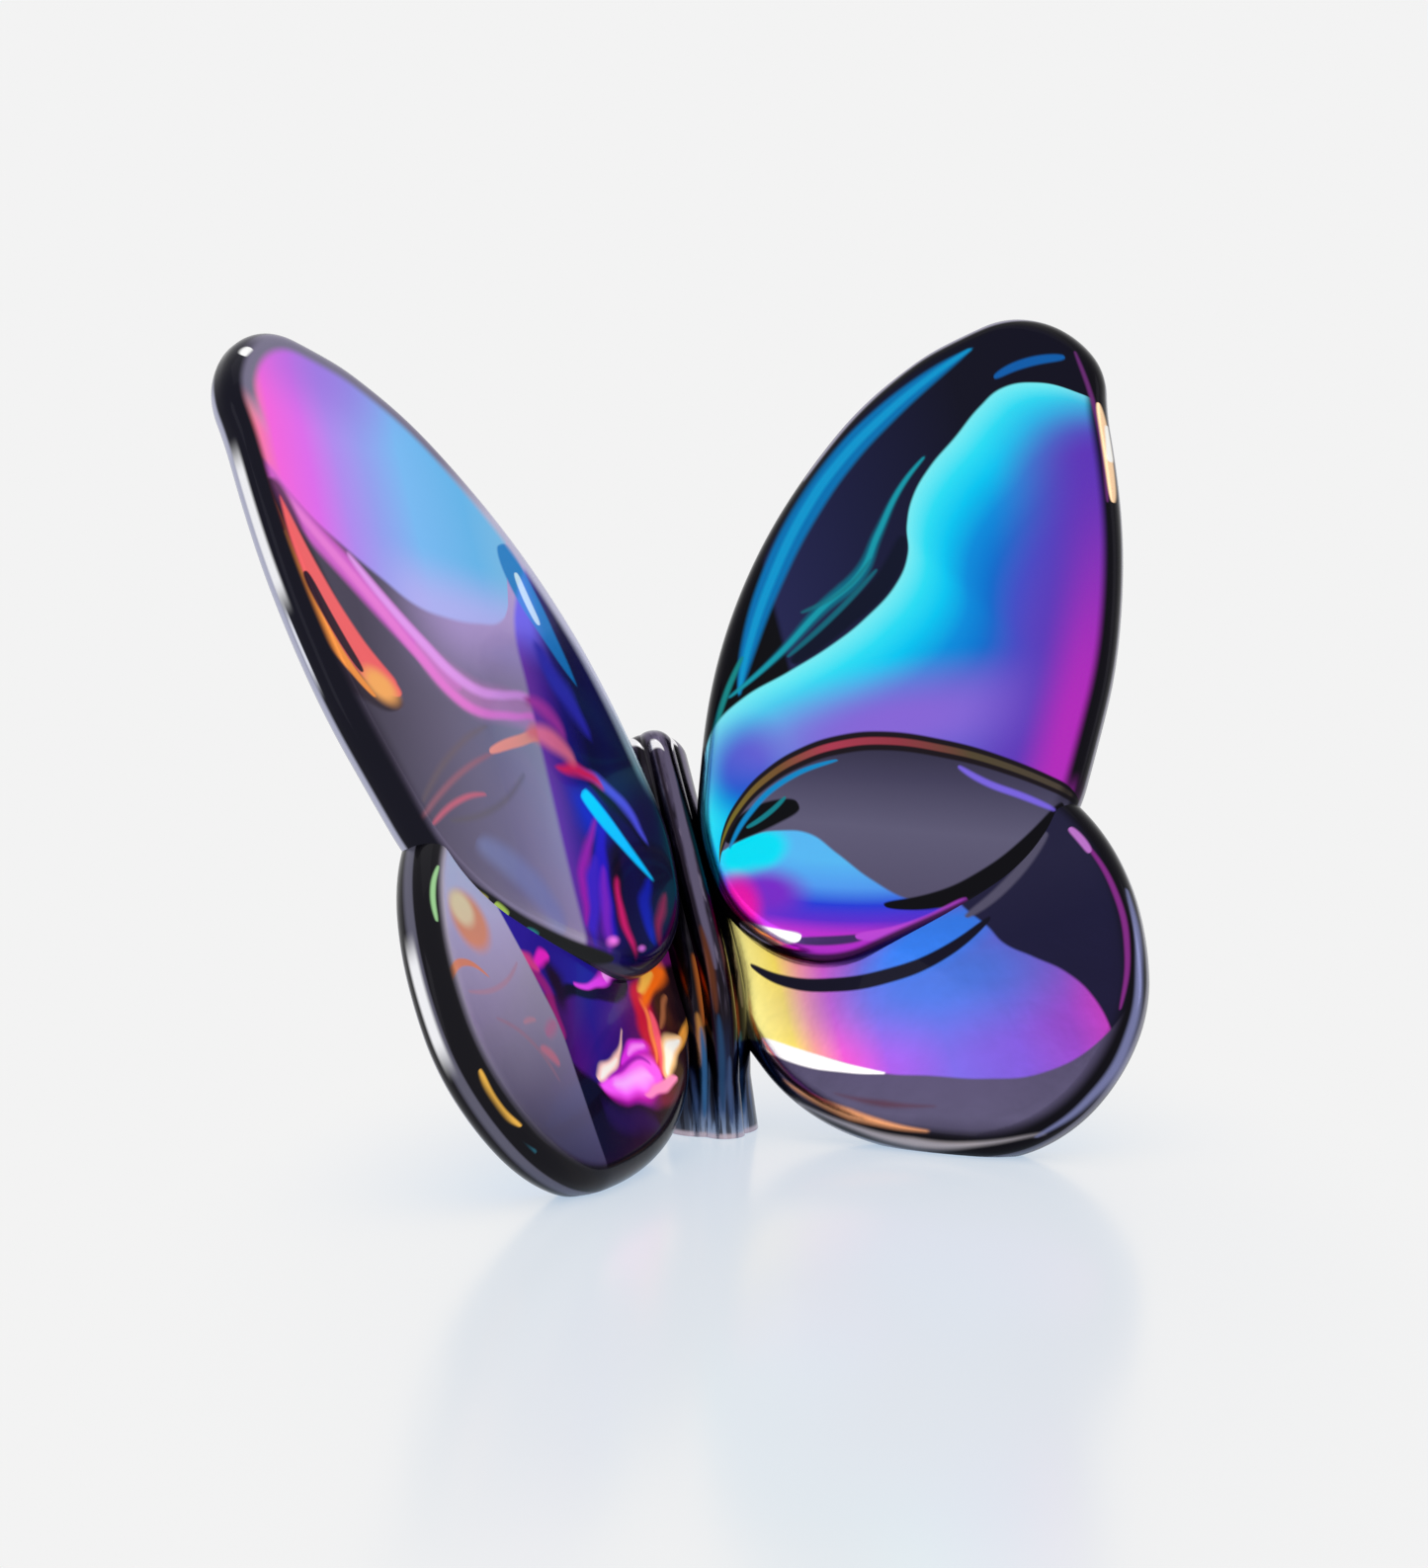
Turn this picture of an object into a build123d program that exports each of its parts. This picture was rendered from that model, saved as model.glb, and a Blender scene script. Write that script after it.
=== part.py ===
from build123d import *
import math
import os

# Stance: both wing pairs lean back from the table and open in a V towards the front
wing_lean_angle = 35.8
forewing_spread_angle = 59.5
hindwing_spread_angle = 53.6
root_setback = 0.8
root_lift = 2.6

# Wings: flat crystal leaves with rounded rims, the forewing lying in a seat in the hindwing
layer_step = 3.3
rim_round_share = 0.46
forewing_reach = 40.6
forewing_thickness = 3.4
hindwing_reach = 32.6
hindwing_thickness = 3.8

# Leaf outlines as shares of the reach, out from the body and up along it
forewing_outline_shares = (
    (0.215, 0.882),
    (0.391, 1.105),
    (0.614, 1.269),
    (0.737, 1.314),
    (0.898, 1.317),
    (1.000, 1.204),
    (0.991, 1.042),
    (0.944, 0.770),
    (0.843, 0.502),
    (0.680, 0.268),
    (0.431, 0.189),
    (0.217, 0.187),
    (0.095, 0.308),
    (0.068, 0.456),
    (0.113, 0.653),
)
hindwing_outline_shares = (
    (0.010, 0.430),
    (0.103, 0.636),
    (0.312, 0.752),
    (0.570, 0.726),
    (0.773, 0.604),
    (0.940, 0.410),
    (1.000, 0.144),
    (0.915, -0.152),
    (0.654, -0.313),
    (0.369, -0.231),
    (0.154, -0.054),
    (0.049, 0.179),
)

# Body: one ribbed bar, upright over its flared foot, bent, then leaning back to the head
body_width = 5.4
body_depth = 6.4
body_setback = 0.2
rib_edge_share = (0.23, 0.34)
side_rib_share = 0.12
keel_edge_share = (0.14, 0.42)
foot_flare_share = 1.2
foot_height = 4.0
post_height = 4.5
bend_radius = 16.0
bend_angle = 38.0
bar_length = 16.3
# The rounded head: height as a share of the body depth, size as a share of the bar
head_shares = ((0.0, 1.0), (0.2, 0.84), (0.3, 0.5))
table_reach = 100.0


def smooth_outline(points):
    """A closed outline through the points, two arcs to a stretch, each arc running smoothly into the next."""
    spots = [Vector(*point) for point in points]
    count = len(spots)
    ways = []
    for i, spot in enumerate(spots):
        before = spot - spots[i - 1]
        after = spots[(i + 1) % count] - spot
        ways.append((before / before.length**2 + after / after.length**2).normalized())
    arcs = []
    for i, start in enumerate(spots):
        end = spots[(i + 1) % count]
        leave = ways[i]
        arrive = ways[(i + 1) % count]
        span = end - start
        along = span.dot(leave + arrive)
        turn = 1 - leave.dot(arrive)
        handle = (math.sqrt(along**2 + 2 * turn * span.dot(span)) - along) / (2 * turn)
        joint = (start + end + (leave - arrive) * handle) / 2
        arcs.append(TangentArc(start, joint, tangent=leave))
        arcs.append(TangentArc(joint, end, tangent=span - (leave + arrive) * handle))
    return arcs


def wing_place(spread_angle):
    """Place of a right wing: out from the body, up along it, and off its front face."""
    lean = math.radians(wing_lean_angle)
    spread = math.radians(spread_angle)
    out = (math.sin(spread), -math.cos(spread) * math.cos(lean), math.cos(spread) * math.sin(lean))
    front = (-math.cos(spread), -math.sin(spread) * math.cos(lean), math.sin(spread) * math.sin(lean))
    return Plane(origin=(0, root_setback, root_lift), x_dir=out, z_dir=front)


def leaf(outline_shares, reach, thickness, level):
    """A flat leaf about the given level, its rim rounded from both faces."""
    outline = make_face(smooth_outline([(out * reach, up * reach) for out, up in outline_shares]))
    shape = extrude(Pos(0, 0, level - thickness / 2) * outline, amount=thickness)
    faces = shape.faces().sort_by(Axis.Z)
    return fillet(faces[0].edges() + faces[-1].edges(), rim_round_share * thickness)


def forewing():
    shape = leaf(forewing_outline_shares, forewing_reach, forewing_thickness, layer_step / 2)
    return wing_place(forewing_spread_angle).location * shape


def hindwing():
    shape = leaf(hindwing_outline_shares, hindwing_reach, hindwing_thickness, -layer_step / 2)
    return wing_place(hindwing_spread_angle).location * shape


def ribbed_section(size):
    """Section of the body: a rib in front, one on each side and a keel behind, with grooves between."""
    width = size * body_width
    depth = size * body_depth
    rib_out, rib_in = rib_edge_share
    keel_out, keel_in = keel_edge_share
    front = [(-rib_out * width, -rib_in * depth), (rib_out * width, -rib_in * depth)]
    rear = [(keel_out * width, keel_in * depth), (-keel_out * width, keel_in * depth)]
    corners = front + rear
    side = -side_rib_share * depth
    tops = [(0, -depth / 2), (width / 2, side), (0, depth / 2), (-width / 2, side)]
    return make_face([ThreePointArc(corners[i], tops[i], corners[(i + 1) % 4]) for i in range(4)])


def body():
    """Flared foot, upright post, bend and leaning bar with a rounded head."""
    middle = body_setback + body_depth / 2

    def level(height, size):
        return Pos(0, middle, height) * ribbed_section(size)

    foot = loft([level(0, foot_flare_share), level(foot_height, 1)])
    post = extrude(level(foot_height, 1), amount=post_height - foot_height)
    bend_axis = Axis((0, body_setback + bend_radius, post_height), (-1, 0, 0))
    bend = revolve(level(post_height, 1), bend_axis, bend_angle)
    bar = extrude(level(post_height, 1), amount=bar_length)
    head = loft([level(post_height + bar_length + body_depth * rise, size) for rise, size in head_shares])
    return foot + post + bend + (bar + head).rotate(bend_axis, bend_angle)


def table_block():
    """Everything under the table line, where the hindwings are ground flat to stand."""
    return Pos(0, 0, -table_reach / 2) * Box(table_reach, table_reach, table_reach)


body_bar = body()
right_fore = forewing() - body_bar
right_hind = hindwing() - right_fore - body_bar - table_block()

pieces = {
    "body": body_bar,
    "right_forewing": right_fore,
    "left_forewing": mirror(right_fore, about=Plane.YZ),
    "right_hindwing": right_hind,
    "left_hindwing": mirror(right_hind, about=Plane.YZ),
}

# The origin stands on the table under the middle of the whole ornament
box = Compound([solid for shape in pieces.values() for solid in shape.solids()]).bounding_box()
to_origin = Pos(0, -box.center().Y, 0)

os.makedirs("parts", exist_ok=True)
for name, shape in pieces.items():
    export_step(to_origin * shape, f"parts/{name}.step")
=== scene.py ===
import math
import bmesh
import bpy
import numpy as np
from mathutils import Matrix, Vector


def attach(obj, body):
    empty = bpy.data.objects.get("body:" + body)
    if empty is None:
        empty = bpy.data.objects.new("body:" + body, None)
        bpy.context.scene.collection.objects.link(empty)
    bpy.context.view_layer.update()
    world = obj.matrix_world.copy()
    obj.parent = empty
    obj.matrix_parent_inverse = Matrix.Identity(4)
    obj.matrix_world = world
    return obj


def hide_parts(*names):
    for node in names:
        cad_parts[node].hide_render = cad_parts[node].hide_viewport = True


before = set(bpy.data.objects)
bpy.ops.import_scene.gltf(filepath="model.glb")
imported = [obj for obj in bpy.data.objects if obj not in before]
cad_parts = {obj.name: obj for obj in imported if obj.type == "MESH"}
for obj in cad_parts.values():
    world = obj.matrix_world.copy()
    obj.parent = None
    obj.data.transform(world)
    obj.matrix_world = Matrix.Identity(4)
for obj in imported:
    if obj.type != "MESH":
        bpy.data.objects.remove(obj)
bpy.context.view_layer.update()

MM = 0.001

# Shape, in millimetres, as in the part's source
wing_lean = math.radians(35.8)
spreads = {"forewing": math.radians(59.5), "hindwing": math.radians(53.6)}
thickness = {"forewing": 3.4, "hindwing": 3.8}
levels = {"forewing": 1.65, "hindwing": -1.65}
reaches = {"forewing": 40.6, "hindwing": 32.6}
root = (0, 0.8, 2.6)
middle_y = 2.0612
rim_round_share = 0.46
crown = 0.35
crease_angle = math.radians(38)
outlines = {
    "forewing": (
        (0.215, 0.882), (0.391, 1.105), (0.614, 1.269), (0.737, 1.314), (0.898, 1.317),
        (1.000, 1.204), (0.991, 1.042), (0.944, 0.770), (0.843, 0.502), (0.680, 0.268),
        (0.431, 0.189), (0.217, 0.187), (0.095, 0.308), (0.068, 0.456), (0.113, 0.653),
    ),
    "hindwing": (
        (0.010, 0.430), (0.103, 0.636), (0.312, 0.752), (0.570, 0.726), (0.773, 0.604),
        (0.940, 0.410), (1.000, 0.144), (0.915, -0.152), (0.654, -0.313), (0.369, -0.231),
        (0.154, -0.054), (0.049, 0.179),
    ),
}
# Centres of the painted shade and painted light on the back of each leaf, out from the body and up along it
painted_back_shade_and_light = {"forewing": ((15, 26), (31, 40)), "hindwing": ((11, 9), (23, 4))}
body_width = 5.4
body_depth = 6.4
body_setback = 0.2
rib_edge_share = (0.23, 0.34)
side_rib_share = 0.12
keel_edge_share = (0.14, 0.42)
foot_flare_share = 1.2
foot_height = 4.0
post_height = 4.5
bend_radius = 16.0
bend_angle = math.radians(38.0)
bar_length = 16.3
head_shares = ((0.0, 1.0), (0.2, 0.84), (0.3, 0.5))


def linear(colour):
    """Linear red, green, blue and alpha of a colour written as 0 to 255."""
    return tuple((c / 255 / 12.92) if c < 10.3 else ((c / 255 + 0.055) / 1.055) ** 2.4 for c in colour) + (1.0,)


def smooth_outline(points, count=12):
    """Points and outward normals along the outline, two arcs to a stretch."""
    spots = [np.array(point) for point in points]
    number = len(spots)
    ways = []
    for i, spot in enumerate(spots):
        before = spot - spots[i - 1]
        after = spots[(i + 1) % number] - spot
        way = before / (before @ before) + after / (after @ after)
        ways.append(way / np.linalg.norm(way))
    places = []
    tangents = []

    def arc(start, way, end):
        chord = end - start
        turn = math.atan2(way[0] * chord[1] - way[1] * chord[0], way @ chord)
        for step in np.arange(count) / count:
            part = step * turn
            length = np.linalg.norm(chord) * (math.sin(part) / math.sin(turn) if abs(turn) > 1e-6 else step)
            for angle, out, size in ((part, places, length), (2 * part, tangents, 1)):
                spin = np.array([[math.cos(angle), -math.sin(angle)], [math.sin(angle), math.cos(angle)]])
                out.append(spin @ way * size + (start if out is places else 0))

    for i, start in enumerate(spots):
        end = spots[(i + 1) % number]
        leave = ways[i]
        arrive = ways[(i + 1) % number]
        span = end - start
        along = span @ (leave + arrive)
        turn = 1 - leave @ arrive
        handle = (math.sqrt(along**2 + 2 * turn * (span @ span)) - along) / (2 * turn)
        joint = (start + end + (leave - arrive) * handle) / 2
        middle = span - (leave + arrive) * handle
        arc(start, leave, joint)
        arc(joint, middle / np.linalg.norm(middle), end)
    places = np.array(places)
    tangents = np.array(tangents)
    normals = np.stack([tangents[:, 1], -tangents[:, 0]], 1)
    following = np.roll(places, -1, 0)
    if np.sum(places[:, 0] * following[:, 1] - following[:, 0] * places[:, 1]) < 0:
        normals = -normals
    return places, normals


def new_object(name, rings, caps, flip):
    """A closed skin over rings of points, with a middle point at each end."""
    count = len(rings[0])
    points = np.vstack([caps[:1]] + list(rings) + [caps[1:]])
    last = len(points) - 1
    faces = []
    for i in range(count):
        j = (i + 1) % count
        faces.append((0, 1 + i, 1 + j))
        for k in range(len(rings) - 1):
            a = 1 + k * count
            b = a + count
            faces.append((a + i, b + i, b + j, a + j))
        a = 1 + (len(rings) - 1) * count
        faces.append((a + i, last, a + j))
    if flip:
        faces = [face[::-1] for face in faces]
    mesh = bpy.data.meshes.new(name)
    mesh.from_pydata((points * MM).tolist(), [], faces)
    mesh.update()
    piece = bpy.data.objects.new(name, mesh)
    bpy.context.scene.collection.objects.link(piece)
    return piece


def stand_flat(piece):
    """Grind the piece level where it meets the table."""
    shape = bmesh.new()
    shape.from_mesh(piece.data)
    parts = shape.verts[:] + shape.edges[:] + shape.faces[:]
    cut = bmesh.ops.bisect_plane(shape, geom=parts, plane_co=(0, 0, 0), plane_no=(0, 0, 1), clear_inner=True)
    edges = [part for part in cut["geom_cut"] if isinstance(part, bmesh.types.BMEdge)]
    bmesh.ops.contextual_create(shape, geom=edges)
    bmesh.ops.recalc_face_normals(shape, faces=shape.faces[:])
    shape.to_mesh(piece.data)
    shape.free()


def carve(piece, others):
    """Cut the seats of the other pieces out of this one."""
    for other in others:
        seat = piece.modifiers.new("seat", "BOOLEAN")
        seat.operation = "DIFFERENCE"
        seat.solver = "MANIFOLD"
        seat.object = other
    whole = piece.data
    piece.data = bpy.data.meshes.new_from_object(piece.evaluated_get(bpy.context.evaluated_depsgraph_get()))
    piece.data.materials.clear()
    piece.modifiers.clear()
    bpy.data.meshes.remove(whole)


def keep_places(piece, turn, start, outline):
    """Each point's own place in the piece's directions, and how far inside the outline it lies."""
    mesh = piece.data
    spots = np.empty(len(mesh.vertices) * 3)
    mesh.vertices.foreach_get("co", spots)
    own = (spots.reshape(-1, 3) / MM - start) @ turn
    inset = np.full(len(own), np.inf)
    for a, b in zip(outline, np.roll(outline, -1, 0)):
        share = np.clip((own[:, :2] - a) @ (b - a) / ((b - a) @ (b - a)), 0, 1)
        inset = np.minimum(inset, np.linalg.norm(own[:, :2] - a - share[:, None] * (b - a), axis=1))
    mesh.attributes.new("own_place", "FLOAT_VECTOR", "POINT").data.foreach_set("vector", own.ravel())
    mesh.attributes.new("inset", "FLOAT", "POINT").data.foreach_set("value", inset)
    mesh.polygons.foreach_set("use_smooth", [True] * len(mesh.polygons))
    mesh.set_sharp_from_angle(angle=crease_angle)
    mesh.update()


def wing_place(kind, side):
    """Turn and place of a wing: out from the body, up along it, and off its front face."""
    spread = spreads[kind]
    out = (side * math.sin(spread), -math.cos(spread) * math.cos(wing_lean), math.cos(spread) * math.sin(wing_lean))
    up = (0, math.sin(wing_lean), math.cos(wing_lean))
    front = (-side * math.cos(spread), -math.sin(spread) * math.cos(wing_lean), math.sin(spread) * math.sin(wing_lean))
    return np.array([out, up, front]).T, np.array([root[0], root[1] - middle_y, root[2]])


def wing_outline(kind):
    return smooth_outline([(s * reaches[kind], t * reaches[kind]) for s, t in outlines[kind]])


def wing(kind, side):
    """A leaf with a round rim and gently crowned faces."""
    places, normals = wing_outline(kind)
    round_radius = rim_round_share * thickness[kind]
    half = thickness[kind] / 2
    inner = places - normals * round_radius
    centre = inner.mean(0)
    turn, start = wing_place(kind, side)
    rings = []

    def ring(flat, height):
        rings.append(np.column_stack([flat, np.full(len(flat), levels[kind] + height)]) @ turn.T + start)

    shares = np.linspace(0, 1, 25)[1:]
    angles = np.linspace(0, math.pi / 2, 13)[1:]
    for face, order in ((1, 1), (-1, -1)):
        steps = [("flat", share) for share in shares] + [("rim", angle) for angle in angles]
        if face < 0:
            steps = steps[:-1]
        for part, value in steps[::order]:
            if part == "flat":
                ring(centre + (inner - centre) * value, face * (half + crown * (1 - value**2) ** 2))
            else:
                edge = places - normals * round_radius * (1 - math.sin(value))
                ring(edge, face * (half - round_radius * (1 - math.cos(value))))
    tops = np.array([[*centre, levels[kind] + half + crown], [*centre, levels[kind] - half - crown]])
    around = np.sum(places[:, 0] * np.roll(places[:, 1], -1) - np.roll(places[:, 0], -1) * places[:, 1])
    name = ("right_" if side > 0 else "left_") + kind + "_glass"
    return new_object(name, rings, tops @ turn.T + start, (around < 0) == (side > 0))


def ribbed_section(count=24):
    """Points round the body's section: a rib in front, one on each side and a keel behind."""
    rib_out, rib_in = rib_edge_share[0] * body_width, rib_edge_share[1] * body_depth
    keel_out, keel_in = keel_edge_share[0] * body_width, keel_edge_share[1] * body_depth
    side_at = -side_rib_share * body_depth
    corners = [(-rib_out, -rib_in), (rib_out, -rib_in), (keel_out, keel_in), (-keel_out, keel_in)]
    tops = [(0, -body_depth / 2), (body_width / 2, side_at), (0, body_depth / 2), (-body_width / 2, side_at)]
    points = []
    for i, top in enumerate(tops):
        start = complex(*corners[i])
        middle = complex(*top)
        end = complex(*corners[(i + 1) % 4])
        w = (end - start) / (middle - start)
        hub = (middle - start) * (w - abs(w) ** 2) / (2j * w.imag) + start
        sweep = np.angle((end - hub) / (start - hub)) % (2 * math.pi)
        for share in np.arange(count) / count:
            spot = hub + (start - hub) * np.exp(1j * sweep * share)
            points.append((spot.real, spot.imag))
    return np.array(points)


def body():
    """The ribbed bar: flared foot, post, bend, leaning bar and rounded head."""
    section = ribbed_section()
    middle = body_setback + body_depth / 2 - middle_y
    hub = (body_setback + bend_radius - middle_y, post_height)
    rings = []

    def ring(height, size, angle):
        points = np.column_stack([section[:, 0] * size, section[:, 1] * size + middle, np.full(len(section), height)])
        y = points[:, 1] - hub[0]
        z = points[:, 2] - hub[1]
        points[:, 1] = hub[0] + y * math.cos(angle) + z * math.sin(angle)
        points[:, 2] = hub[1] - y * math.sin(angle) + z * math.cos(angle)
        return points

    for share in np.linspace(0, 1, 13):
        flare = 1 + (foot_flare_share - 1) * (1 - share) ** 1.0
        rings.append(ring(foot_height * share, flare, 0))
    for angle in np.linspace(0, bend_angle, 25):
        rings.append(ring(post_height, 1, angle))
    for share in np.linspace(0, 1, 17)[1:]:
        rings.append(ring(post_height + bar_length * share, 1, bend_angle))
    top = post_height + bar_length
    heights = np.linspace(0, 1, 13)[1:]
    for share in heights:
        size = math.sqrt(1 - (0.86 * share) ** 2)
        rings.append(ring(top + 0.3 * body_depth * share, size, bend_angle))
    last = rings[-1].mean(0)
    for share in (0.75, 0.5, 0.25):
        rings.append(last + (rings[-1] - last) * share)
    first = rings[0].mean(0)
    caps = np.array([first, last])
    return new_object("body_glass", rings, caps, True)


class Paint:
    """Colours laid over a piece by its own coordinates, in millimetres."""

    def __init__(self, name):
        self.material = bpy.data.materials.new(name)
        self.material.use_nodes = True
        self.nodes = self.material.node_tree.nodes
        self.links = self.material.node_tree.links
        self.shader = self.nodes["Principled BSDF"]
        place = self.nodes.new("ShaderNodeAttribute")
        place.attribute_name = "own_place"
        self.place = place.outputs["Vector"]
        self.lay((0, 1, 2))

    def lay(self, order):
        """Which of the piece's own directions run out, up and deep."""
        axes = [self.split(self.place, index) for index in order]
        if order != (0, 1, 2):
            join = self.nodes.new("ShaderNodeCombineXYZ")
            for axis, socket in zip(axes, join.inputs):
                self.links.new(axis, socket)
            self.place = join.outputs["Vector"]
        self.out, self.up, self.depth = axes

    def ripple(self, amount, scale):
        """Let what is laid from now on waver by up to the amount, as seen through pressed glass."""
        noise = self.nodes.new("ShaderNodeTexNoise")
        noise.inputs["Scale"].default_value = scale
        noise.inputs["Detail"].default_value = 0.0
        self.links.new(self.place, noise.inputs["Vector"])
        sway = self.vector("SUBTRACT", noise.outputs["Color"], (0.5, 0.5, 0.5))
        self.place = self.vector("ADD", self.place, self.vector("MULTIPLY", sway, (2 * amount, 2 * amount, 0)))

    def put(self, socket, value):
        if isinstance(value, bpy.types.NodeSocket):
            self.links.new(value, socket)
        else:
            socket.default_value = value

    def vector(self, operation, *values):
        node = self.nodes.new("ShaderNodeVectorMath")
        node.operation = operation
        for socket, value in zip(node.inputs, values):
            self.put(socket, value)
        return node.outputs["Value"] if operation == "LENGTH" else node.outputs["Vector"]

    def math(self, operation, *values):
        node = self.nodes.new("ShaderNodeMath")
        node.operation = operation
        for socket, value in zip(node.inputs, values):
            self.put(socket, value)
        return node.outputs["Value"]

    def split(self, vector, index):
        node = self.nodes.new("ShaderNodeSeparateXYZ")
        self.links.new(vector, node.inputs[0])
        return node.outputs[index]

    def step(self, value, low, high):
        """0 below low and 1 above high, smoothly between; the other way round when low is over high."""
        node = self.nodes.new("ShaderNodeMapRange")
        node.interpolation_type = "SMOOTHSTEP"
        ends = (low, high, 0.0, 1.0) if low < high else (high, low, 1.0, 0.0)
        self.links.new(value, node.inputs["Value"])
        for key, end in zip(("From Min", "From Max", "To Min", "To Max"), ends):
            node.inputs[key].default_value = end
        return node.outputs["Result"]

    def local(self, origin, angle, sizes):
        node = self.nodes.new("ShaderNodeMapping")
        node.vector_type = "TEXTURE"
        self.links.new(self.place, node.inputs["Vector"])
        node.inputs["Location"].default_value = (origin[0], origin[1], 0)
        node.inputs["Rotation"].default_value = (0, 0, angle)
        node.inputs["Scale"].default_value = (sizes[0], sizes[1], 1000)
        return node.outputs["Vector"]

    def curve(self, value, points):
        node = self.nodes.new("ShaderNodeFloatCurve")
        self.links.new(value, node.inputs["Value"])
        line = node.mapping.curves[0]
        while len(line.points) < len(points):
            line.points.new(0.5, 0.5)
        for spot, point in zip(line.points, points):
            spot.location = point
        node.mapping.use_clip = False
        node.mapping.update()
        return node.outputs["Value"]

    def line(self, points):
        """Share along a smooth line through the points, and distance to its left in shares of its length."""
        start = np.array(points[0])
        chord = np.array(points[-1]) - start
        length = float(np.linalg.norm(chord))
        along = chord / length
        across = np.array([-along[1], along[0]])
        origin = start - across * length / 2
        local = self.local(origin, math.atan2(chord[1], chord[0]), (length, length))
        share = self.split(local, 0)
        places = [((np.array(p) - start) @ along / length, (np.array(p) - start) @ across / length + 0.5) for p in points]
        off = self.math("SUBTRACT", self.split(local, 1), self.curve(share, places))
        return share, off, length

    def offset(self, points):
        """Distance to the left of the line, in millimetres."""
        share, off, length = self.line(points)
        return self.math("MULTIPLY", off, length)

    def stroke(self, points, width, soft=0.25, taper=0.2, shape=None):
        """A band along the line, narrowing to both ends unless it has a shape of its own."""
        share, off, length = self.line(points)
        profile = self.curve(share, shape or [(0, 0), (taper, 1), (1 - taper, 1), (1, 0)])
        end = soft / 2 / length
        within = self.both(self.step(share, -end, end), self.step(share, 1 + end, 1 - end))
        room = self.math("SUBTRACT", self.math("MULTIPLY", profile, width / 2 / length), self.math("ABSOLUTE", off))
        return self.both(self.step(room, -end, end), within)

    def mark(self, base, points, width, tint, soft=0.25, taper=0.2, shape=None, amount=1.0):
        return self.over(base, self.stroke(points, width, soft, taper, shape), tint, amount)

    def patch(self, base, centre, radii, angle, tint, soft=0.4, amount=1.0):
        """An oval of colour with a soft edge."""
        away = self.vector("LENGTH", self.local(centre, math.radians(angle), radii))
        return self.over(base, self.step(away, 1 + soft, 1 - soft), tint, amount)

    def glint(self, base, points, width, tint, soft, level):
        """A painted glint: a stroke on the front of the rim only."""
        front = self.step(self.depth, level, level + 0.5)
        return self.over(base, self.both(self.stroke(points, width, soft), front), tint)

    def edge_line(self, level, width, low, high):
        """Mask of a thin line round the side of the rim, between two heights, for painted highlight lines."""
        off = self.math("ABSOLUTE", self.math("SUBTRACT", self.depth, level))
        side = self.step(self.inset(), 0.8, 0.4)
        span = self.both(self.step(self.up, low, low + 3), self.step(self.up, high, high - 3))
        return self.both(self.step(off, width, width * 0.4), side, span)

    def both(self, *masks):
        result = masks[0]
        for mask in masks[1:]:
            result = self.math("MULTIPLY", result, mask)
        return result

    def ramp(self, value, stops):
        node = self.nodes.new("ShaderNodeValToRGB")
        low, high = stops[0][0], stops[-1][0]
        scale = self.nodes.new("ShaderNodeMapRange")
        self.links.new(value, scale.inputs["Value"])
        scale.inputs["From Min"].default_value = low
        scale.inputs["From Max"].default_value = high
        self.links.new(scale.outputs["Result"], node.inputs["Fac"])
        elements = node.color_ramp.elements
        while len(elements) < len(stops):
            elements.new(0.5)
        for element, (position, colour) in zip(elements, stops):
            element.position = (position - low) / (high - low)
            element.color = linear(colour)
        return node.outputs["Color"]

    def over(self, base, mask, colour, amount=1.0):
        node = self.nodes.new("ShaderNodeMix")
        node.data_type = "RGBA"
        self.put(node.inputs[0], mask if amount == 1.0 else self.math("MULTIPLY", mask, amount))
        for socket, value in ((node.inputs[6], base), (node.inputs[7], colour)):
            self.put(socket, value if isinstance(value, bpy.types.NodeSocket) else linear(value))
        return node.outputs[2]

    def inset(self):
        node = self.nodes.new("ShaderNodeAttribute")
        node.attribute_name = "inset"
        return node.outputs["Fac"]

    def finish(self, colour, roughness=0.2, metallic=1.0, painted_glow=None):
        """Coloured mirror coat under clear polished glass, faintly uneven as pressed glass is.

        The painted glow, where there is any, is colour given off as light from the surface, in place of what shines
        through the glass from behind.
        """
        noise = self.nodes.new("ShaderNodeTexNoise")
        noise.inputs["Scale"].default_value = 0.35
        noise.inputs["Detail"].default_value = 3.0
        self.links.new(self.place, noise.inputs["Vector"])
        bump = self.nodes.new("ShaderNodeBump")
        bump.inputs["Strength"].default_value = 0.12
        bump.inputs["Distance"].default_value = 0.0002
        self.links.new(noise.outputs["Fac"], bump.inputs["Height"])
        self.links.new(bump.outputs["Normal"], self.shader.inputs["Normal"])
        self.links.new(colour, self.shader.inputs["Base Color"])
        rough = self.nodes.new("ShaderNodeMapRange")
        self.links.new(noise.outputs["Fac"], rough.inputs["Value"])
        rough.inputs["To Min"].default_value = roughness * 0.8
        rough.inputs["To Max"].default_value = roughness * 1.2
        self.links.new(rough.outputs["Result"], self.shader.inputs["Roughness"])
        self.shader.inputs["Metallic"].default_value = metallic
        self.shader.inputs["Specular IOR Level"].default_value = 0.1
        self.shader.inputs["Coat Weight"].default_value = 0.15
        self.shader.inputs["Coat Roughness"].default_value = 0.02
        self.shader.inputs["Coat IOR"].default_value = 1.5
        # Painted glow: the given colour is given off as light
        if painted_glow:
            self.links.new(painted_glow, self.shader.inputs["Emission Color"])
            self.shader.inputs["Emission Strength"].default_value = 0.4
        return self.material


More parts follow.
